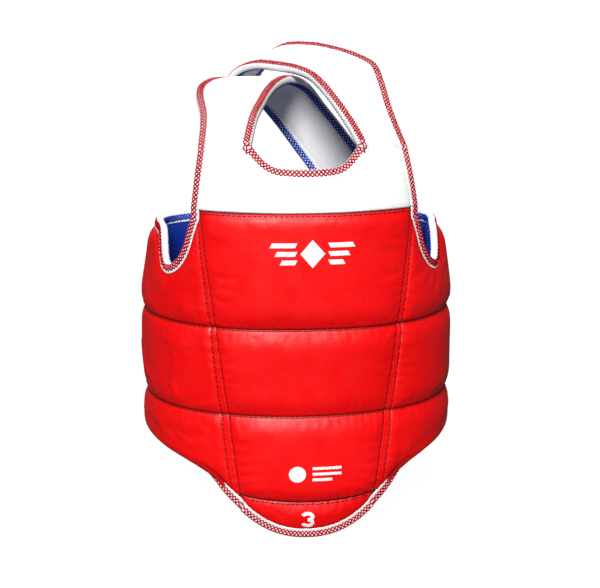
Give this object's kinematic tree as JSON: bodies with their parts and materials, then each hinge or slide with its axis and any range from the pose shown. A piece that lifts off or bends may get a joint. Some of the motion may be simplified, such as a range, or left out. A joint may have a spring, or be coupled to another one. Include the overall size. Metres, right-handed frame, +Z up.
{
  "type": "trunk protector",
  "caption": "Reversible padded trunk protector with quilted wings that wrap the torso, crossing shoulder straps, a groin flap and loops for a rear tie lace.",
  "frame": {"origin": "centre of the wearer's torso, a little below the middle of the chest, where a body stand or the wearer holds the protector", "axes": "+Z up, -Y towards the front of the chest, +X to the right as seen from the front"},
  "size_m": [0.3954, 0.298, 0.5945],
  "materials": {
    "red_vinyl": "satin",
    "blue_vinyl": "satin",
    "white_vinyl": "satin",
    "webbing": "matte",
    "foam": "matte",
    "white_print": "satin",
    "red_thread": "matte",
    "blue_thread": "matte"
  },
  "bodies": {
    "trunk_front": {"front_outer_cover": "red_vinyl", "front_inner_cover": "blue_vinyl", "front_foam_lower": "foam", "front_foam_middle": "foam", "front_foam_upper": "foam", "yoke_outer_cover": "white_vinyl", "yoke_inner_cover": "white_vinyl", "yoke_foam": "foam", "neck_binding": "webbing", "left_armhole_binding": "webbing", "right_armhole_binding": "webbing", "chest_mark": "white_print", "lower_mark": "white_print"},
    "left_wing": {"left_wing_outer_cover": "red_vinyl", "left_wing_inner_cover": "blue_vinyl", "left_wing_foam_lower": "foam", "left_wing_foam_middle": "foam", "left_wing_foam_upper": "foam", "left_wing_binding": "webbing", "left_wing_loop_upper": "webbing", "left_wing_loop_middle": "webbing", "left_wing_loop_lower": "webbing"},
    "right_wing": {"right_wing_outer_cover": "red_vinyl", "right_wing_inner_cover": "blue_vinyl", "right_wing_foam_lower": "foam", "right_wing_foam_middle": "foam", "right_wing_foam_upper": "foam", "right_wing_binding": "webbing", "right_wing_loop_upper": "webbing", "right_wing_loop_middle": "webbing", "right_wing_loop_lower": "webbing"},
    "groin_flap": {"groin_flap_outer_cover": "red_vinyl", "groin_flap_inner_cover": "blue_vinyl", "groin_flap_foam": "foam", "groin_flap_binding": "webbing", "size_numeral": "white_print"},
    "left_strap": {"left_strap_outer_cover": "white_vinyl", "left_strap_inner_cover": "white_vinyl", "left_strap_foam": "foam", "left_strap_binding": "webbing", "left_strap_loop": "webbing"},
    "right_strap": {"right_strap_outer_cover": "white_vinyl", "right_strap_inner_cover": "white_vinyl", "right_strap_foam": "foam", "right_strap_binding": "webbing", "right_strap_loop": "webbing"}
  },
  "joints": [
    {"name": "left_wing_swing", "type": "hinge", "parent": "trunk_front", "child": "left_wing", "pos_m": [-0.1066, -0.1378, -0.0514], "axis": [-0.1161, 0.0587, 0.9915], "range_deg": [-6, 40], "stiffness_Nm_per_rad": 1.2},
    {"name": "right_wing_swing", "type": "hinge", "parent": "trunk_front", "child": "right_wing", "pos_m": [0.1066, -0.1378, -0.0514], "axis": [-0.1161, -0.0587, -0.9915], "range_deg": [-6, 40], "stiffness_Nm_per_rad": 1.2},
    {"name": "groin_flap_fold", "type": "hinge", "parent": "trunk_front", "child": "groin_flap", "pos_m": [0, -0.162, -0.2255], "axis": [-1, 0, 0], "range_deg": [-10, 45], "stiffness_Nm_per_rad": 0.2},
    {"name": "right_strap_lift", "type": "hinge", "parent": "trunk_front", "child": "right_strap", "pos_m": [0.095, -0.122, 0.207], "axis": [1, 0, 0], "range_deg": [0, 35]},
    {"name": "left_strap_lift", "type": "hinge", "parent": "trunk_front", "child": "left_strap", "pos_m": [-0.095, -0.122, 0.207], "axis": [1, 0, 0], "range_deg": [0, 35]}
  ],
  "couplings": [
    {"joint": "left_strap_lift", "follows": "right_strap_lift", "ratio": 1}
  ]
}
